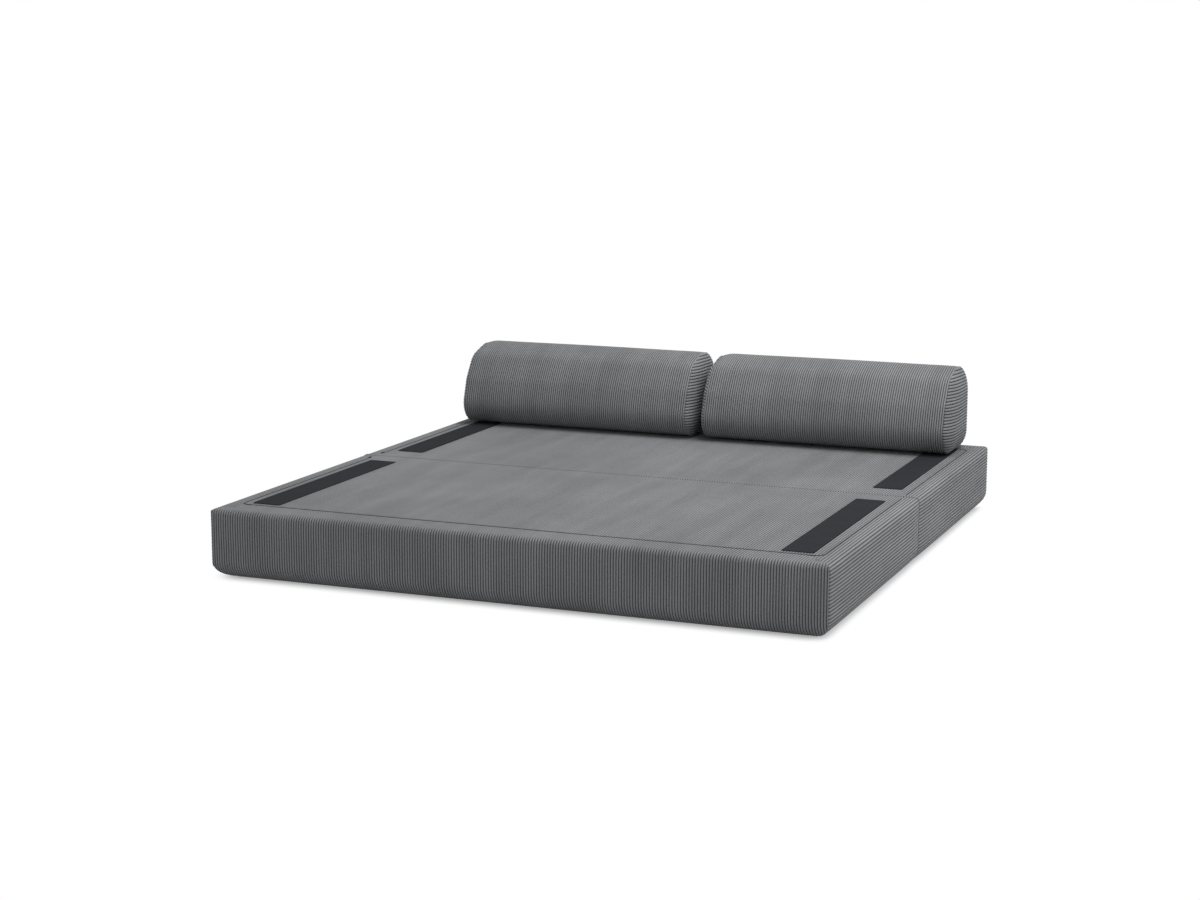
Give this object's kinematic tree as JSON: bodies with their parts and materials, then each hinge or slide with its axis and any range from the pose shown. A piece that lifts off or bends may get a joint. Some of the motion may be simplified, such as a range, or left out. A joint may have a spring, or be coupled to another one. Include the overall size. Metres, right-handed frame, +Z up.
{
  "type": "flip-out foam sofa bed",
  "caption": "Low foam sofa bed in grey corduroy, lying open as a bed: the front slab flips over onto the rear one to make a seat, and loose bolsters lift off the rear slab.",
  "frame": {"origin": "on the floor, under the middle of the fold line, which is the middle of the open bed", "axes": "+Z up; +X to the right seen from the front; the front slab's outer end faces -Y"},
  "size_m": [1.9, 1.92, 0.4995],
  "materials": {
    "corduroy": "matte",
    "foam": "matte",
    "grip_tape": "matte",
    "zip_tape": "matte",
    "zip_slider": "satin"
  },
  "bodies": {
    "rear_base": {"rear_foam_core": "foam", "rear_top_panel": "corduroy", "rear_outer_band": "corduroy", "rear_inner_band": "corduroy", "rear_left_band": "corduroy", "rear_right_band": "corduroy", "rear_underside_panel": "corduroy", "rear_left_grip_strip": "grip_tape", "rear_right_grip_strip": "grip_tape", "rear_zip_tape": "zip_tape", "fold_hinge_welt": "corduroy"},
    "front_base": {"front_foam_core": "foam", "front_top_panel": "corduroy", "front_outer_band": "corduroy", "front_inner_band": "corduroy", "front_left_band": "corduroy", "front_right_band": "corduroy", "front_underside_panel": "corduroy", "front_left_grip_strip": "grip_tape", "front_right_grip_strip": "grip_tape", "front_zip_tape": "zip_tape"},
    "left_bolster": {"left_bolster_foam": "foam", "left_bolster_cover": "corduroy", "left_bolster_outer_cap": "corduroy", "left_bolster_inner_cap": "corduroy", "left_bolster_zip_tape": "zip_tape"},
    "right_bolster": {"right_bolster_foam": "foam", "right_bolster_cover": "corduroy", "right_bolster_outer_cap": "corduroy", "right_bolster_inner_cap": "corduroy", "right_bolster_zip_tape": "zip_tape"},
    "rear_zip_pull": {"rear_zip_slider": "zip_slider"},
    "front_zip_pull": {"front_zip_slider": "zip_slider"},
    "left_bolster_zip_pull": {"left_bolster_zip_slider": "zip_slider"},
    "right_bolster_zip_pull": {"right_bolster_zip_slider": "zip_slider"}
  },
  "joints": [
    {"name": "base_fold", "type": "hinge", "parent": "rear_base", "child": "front_base", "pos_m": [0, 0, 0.2145], "axis": [-1, 0, 0], "range_deg": [0, 180]},
    {"name": "left_bolster_lift", "type": "slide", "parent": "rear_base", "child": "left_bolster", "axis": [0, 0, 1], "range_m": [0, 0.95]},
    {"name": "right_bolster_lift", "type": "slide", "parent": "rear_base", "child": "right_bolster", "axis": [0, 0, 1], "range_m": [0, 0.95]},
    {"name": "rear_zip_run", "type": "slide", "parent": "rear_base", "child": "rear_zip_pull", "axis": [0, 1, 0], "range_m": [0, 0.77]},
    {"name": "front_zip_run", "type": "slide", "parent": "front_base", "child": "front_zip_pull", "axis": [0, -1, 0], "range_m": [0, 0.77]},
    {"name": "left_bolster_zip_run", "type": "slide", "parent": "left_bolster", "child": "left_bolster_zip_pull", "axis": [1, 0, 0], "range_m": [0, 0.67]},
    {"name": "right_bolster_zip_run", "type": "slide", "parent": "right_bolster", "child": "right_bolster_zip_pull", "axis": [1, 0, 0], "range_m": [0, 0.67]}
  ],
  "couplings": [
    {"joint": "left_bolster_lift", "follows": "base_fold", "m_per_rad": 0.302},
    {"joint": "right_bolster_lift", "follows": "base_fold", "m_per_rad": 0.302}
  ]
}
